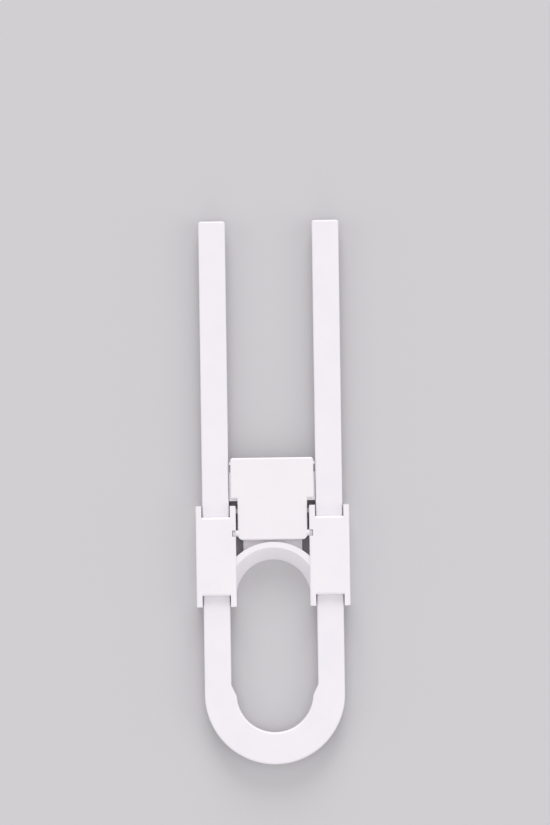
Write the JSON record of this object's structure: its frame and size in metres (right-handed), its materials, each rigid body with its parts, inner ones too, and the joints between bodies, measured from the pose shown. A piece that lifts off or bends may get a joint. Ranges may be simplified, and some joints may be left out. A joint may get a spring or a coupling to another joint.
{
  "type": "cabinet handle safety lock",
  "caption": "U-shaped bar that goes round a pair of cabinet handles, closed by a sliding lock body with a sprung release button.",
  "frame": {"origin": "centre of the lock's bounding box, on the plane that the lock rests on when it lies on its back", "axes": "+Y from the bend towards the free ends of the legs, +Z out of the lock's front, +X to the right seen from the front"},
  "size_m": [0.0738, 0.2616, 0.0121],
  "materials": {
    "bar_plastic": "satin white",
    "body_plastic": "satin white",
    "button_plastic": "satin white",
    "spring_steel": "bright drawn wire"
  },
  "bodies": {
    "bar": {"u_bar": "bar_plastic"},
    "slider": {"lock_body": "body_plastic", "return_spring": "spring_steel"},
    "button": {"release_button": "button_plastic"}
  },
  "joints": [
    {"name": "body_slide", "type": "slide", "parent": "bar", "child": "slider", "axis": [0, 1, 0], "range_m": [-0.036, 0.18]},
    {"name": "button_press", "type": "hinge", "parent": "slider", "child": "button", "pos_m": [0, -0.01945, 0.0089], "axis": [-1, 0, 0], "range_deg": [0, 3], "stiffness_Nm_per_rad": 0.69, "springref_deg": -6.25, "deforming": ["return_spring"]}
  ]
}
